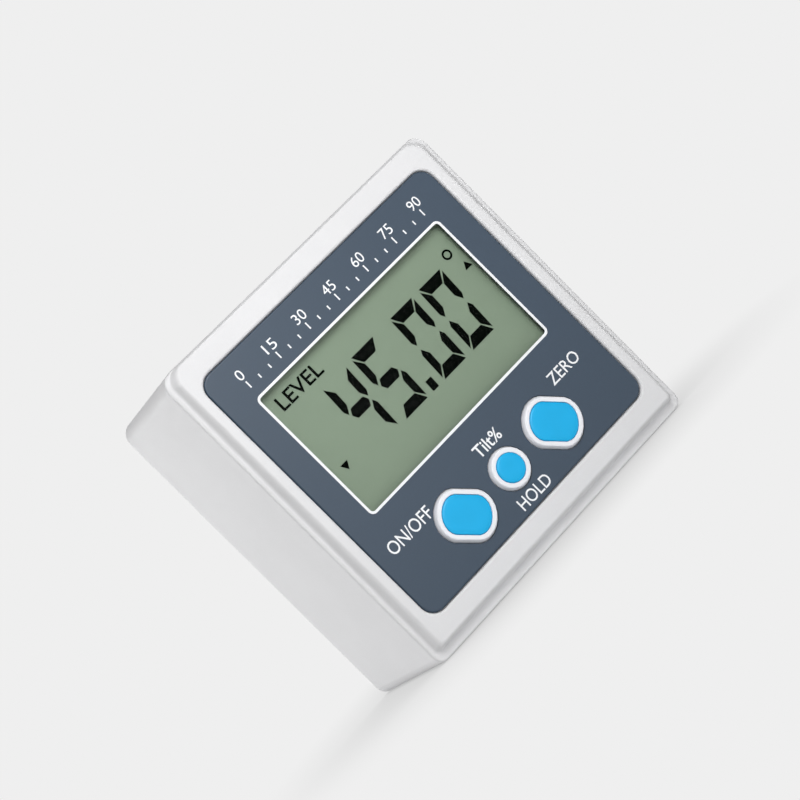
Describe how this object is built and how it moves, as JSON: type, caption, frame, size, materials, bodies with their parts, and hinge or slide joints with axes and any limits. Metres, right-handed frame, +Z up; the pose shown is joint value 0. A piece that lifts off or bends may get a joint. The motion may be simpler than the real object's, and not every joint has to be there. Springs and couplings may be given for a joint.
{
  "type": "digital angle gauge",
  "caption": "Pocket digital angle gauge: square bezelled case, display window, ringed push keys, magnetic measuring base and sliding battery door.",
  "frame": {"origin": "middle of the bounding box's underside, on the measuring base", "axes": "+Z up from the measuring base, +X to the right seen from the front, the display faces -Y"},
  "size_m": [0.06, 0.0346, 0.06],
  "materials": {
    "silver_paint": "satin silver-white paint on moulded plastic",
    "slate_panel": "printed matt sheet",
    "clear_window": "clear polished acrylic",
    "display_glass": "reflective display, satin",
    "strip_rubber": "matt",
    "white_ring": "satin moulded",
    "blue_key": "satin moulded",
    "white_plunger": "satin moulded",
    "black_plastic": "matt moulded",
    "board_green": "solder resist on laminate",
    "cell_sleeve": "plain sleeve, no print",
    "plated_steel": "bright plated steel",
    "red_lead": "insulation",
    "magnet_nickel": "nickel plate, satin"
  },
  "bodies": {
    "case": {"back_cover": "silver_paint", "battery_lower": "cell_sleeve", "battery_upper": "cell_sleeve", "board_screw_lower_left": "plated_steel", "board_screw_lower_right": "plated_steel", "board_screw_upper_left": "plated_steel", "board_screw_upper_right": "plated_steel", "capacitor_left": "plated_steel", "capacitor_right": "plated_steel", "circuit_board": "board_green", "contact_bridge": "plated_steel", "contact_negative": "plated_steel", "contact_positive": "plated_steel", "cover_screw_left": "plated_steel", "cover_screw_right": "plated_steel", "crystal": "plated_steel", "display_window": "clear_window", "face_overlay": "slate_panel", "hold_key_ring": "white_ring", "hold_switch": "black_plastic", "housing": "silver_paint", "lcd_cell": "display_glass", "lcd_frame": "black_plastic", "lead_negative": "black_plastic", "lead_positive": "red_lead", "magnet_left": "magnet_nickel", "magnet_right": "magnet_nickel", "on_off_key_ring": "white_ring", "on_off_switch": "black_plastic", "processor_chip": "black_plastic", "spring_lower": "plated_steel", "spring_upper": "plated_steel", "tilt_sensor": "black_plastic", "zebra_strip_lower": "strip_rubber", "zebra_strip_upper": "strip_rubber", "zero_key_ring": "white_ring", "zero_switch": "black_plastic"},
    "on_off_key": {"on_off_key": "blue_key", "on_off_plunger": "white_plunger"},
    "hold_key": {"hold_key": "blue_key", "hold_plunger": "white_plunger"},
    "zero_key": {"zero_key": "blue_key", "zero_plunger": "white_plunger"},
    "battery_door": {"battery_door": "silver_paint"}
  },
  "joints": [
    {"name": "on_off_press", "type": "slide", "parent": "case", "child": "on_off_key", "axis": [0, 1, 0], "range_m": [0, 0.0005], "stiffness_N_per_m": 600, "springref_m": -0.0005},
    {"name": "hold_press", "type": "slide", "parent": "case", "child": "hold_key", "axis": [0, 1, 0], "range_m": [0, 0.0005], "stiffness_N_per_m": 600, "springref_m": -0.0005},
    {"name": "zero_press", "type": "slide", "parent": "case", "child": "zero_key", "axis": [0, 1, 0], "range_m": [0, 0.0005], "stiffness_N_per_m": 600, "springref_m": -0.0005},
    {"name": "door_slide", "type": "slide", "parent": "case", "child": "battery_door", "axis": [0, 0, 1], "range_m": [0, 0.02]}
  ]
}
